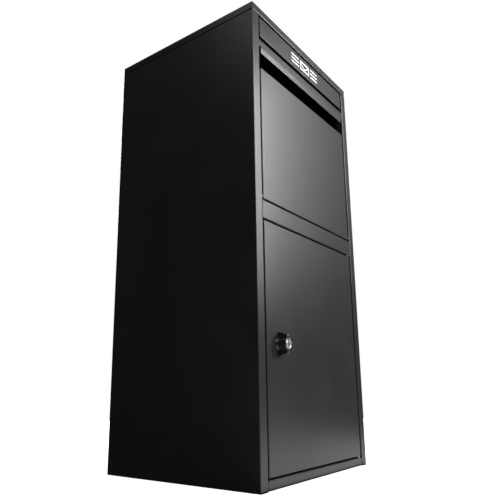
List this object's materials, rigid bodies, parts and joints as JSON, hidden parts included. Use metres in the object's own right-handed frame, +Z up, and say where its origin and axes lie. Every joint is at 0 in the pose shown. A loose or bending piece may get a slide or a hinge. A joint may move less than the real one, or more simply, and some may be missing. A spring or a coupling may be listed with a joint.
{
  "type": "parcel drop box",
  "caption": "Free-standing sheet-steel parcel drop box with a letter flap at the top, a tilt-out parcel hopper and a lower retrieval door with a knob lock.",
  "frame": {"origin": "middle of the footprint, on the underside of the base plate", "axes": "+Z up, the front with the door, hopper and letter flap faces -Y, the width runs along X"},
  "size_m": [0.45, 0.4322, 1],
  "materials": {
    "powder_coated_steel": "fine-textured satin powder coat",
    "zinc_plated_steel": "bright zinc plate",
    "nickel_plated_brass": "satin nickel plate",
    "black_lock_metal": "gloss black lacquer",
    "knob_plastic": "satin moulded",
    "black_rubber": "matt"
  },
  "bodies": {
    "cabinet": {"right_side_panel": "powder_coated_steel", "left_side_panel": "powder_coated_steel", "back_panel": "powder_coated_steel", "base_plate": "powder_coated_steel", "roof_cap": "powder_coated_steel", "roof_seal": "black_rubber", "upper_rail": "powder_coated_steel", "mid_rail": "powder_coated_steel", "bottom_rail": "powder_coated_steel", "parcel_baffle": "powder_coated_steel", "door_stop_angle": "powder_coated_steel", "door_buffers": "black_rubber", "hopper_rest_brackets": "powder_coated_steel", "hopper_rest_pads": "black_rubber", "hopper_pivot_studs": "zinc_plated_steel", "pivot_stud_nuts": "zinc_plated_steel", "flap_hinge_rod": "zinc_plated_steel", "rod_end_caps": "zinc_plated_steel", "door_pivot_pins": "zinc_plated_steel", "door_pivot_washers": "zinc_plated_steel", "back_rivets": "zinc_plated_steel", "rail_rivets": "zinc_plated_steel", "baffle_rivets": "zinc_plated_steel", "roof_screws": "zinc_plated_steel", "roof_nuts": "zinc_plated_steel"},
    "flap": {"letter_flap": "powder_coated_steel"},
    "hopper": {"hopper_panel": "powder_coated_steel", "right_cheek": "powder_coated_steel", "left_cheek": "powder_coated_steel", "chute_plate": "powder_coated_steel", "hopper_rivets": "zinc_plated_steel", "stop_buffers": "black_rubber", "stop_buffer_bolts": "zinc_plated_steel"},
    "door": {"door_panel": "powder_coated_steel", "door_stiffener": "powder_coated_steel", "lock_body": "black_lock_metal", "lock_washer": "zinc_plated_steel", "lock_nut": "zinc_plated_steel"},
    "knob": {"lock_knob": "knob_plastic", "cylinder_bezel": "nickel_plated_brass", "lock_spindle": "zinc_plated_steel", "lock_cam": "zinc_plated_steel", "cam_screw": "zinc_plated_steel"},
    "plug": {"key_plug": "nickel_plated_brass"}
  },
  "joints": [
    {"name": "flap_hinge", "type": "hinge", "parent": "cabinet", "child": "flap", "pos_m": [0, -0.1995, 0.968], "axis": [-1, 0, 0], "range_deg": [0, 80]},
    {"name": "hopper_tilt", "type": "hinge", "parent": "cabinet", "child": "hopper", "pos_m": [0, -0.1995, 0.56082], "axis": [1, 0, 0], "range_deg": [0, 45]},
    {"name": "door_hinge", "type": "hinge", "parent": "cabinet", "child": "door", "pos_m": [0.1915, -0.1996, 0.0225], "axis": [0, 0, 1], "range_deg": [0, 110]},
    {"name": "knob_turn", "type": "hinge", "parent": "door", "child": "knob", "pos_m": [-0.151, -0.205, 0.265], "axis": [0, 1, 0], "range_deg": [0, 90]},
    {"name": "key_turn", "type": "hinge", "parent": "knob", "child": "plug", "pos_m": [-0.151, -0.22, 0.265], "axis": [0, 1, 0], "range_deg": [0, 90]}
  ]
}
